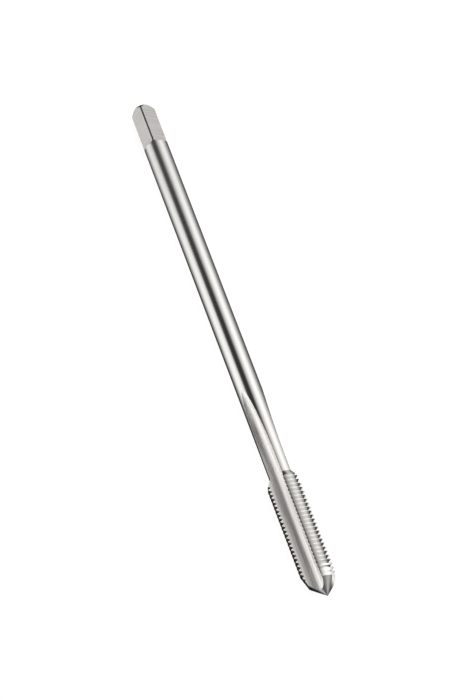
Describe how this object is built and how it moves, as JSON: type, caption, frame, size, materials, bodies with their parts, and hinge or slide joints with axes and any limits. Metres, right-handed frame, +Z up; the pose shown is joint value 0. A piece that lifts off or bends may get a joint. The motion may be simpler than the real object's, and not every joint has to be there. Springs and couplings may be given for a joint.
{
  "type": "thread tap",
  "caption": "Straight three-flute metric thread tap: long ground shank, square driving end, short lead chamfer and conical point.",
  "frame": {"origin": "bottom centre of the box: on the surface that the tap lies on, below the middle of its length", "axes": "+X along the tap's axis towards its point, +Z up, with one flute facing straight down"},
  "size_m": [0.166, 0.01, 0.0091],
  "materials": {
    "tool_steel": "ground and polished"
  },
  "bodies": {
    "root": {"thread_tap": "tool_steel"}
  },
  "joints": []
}
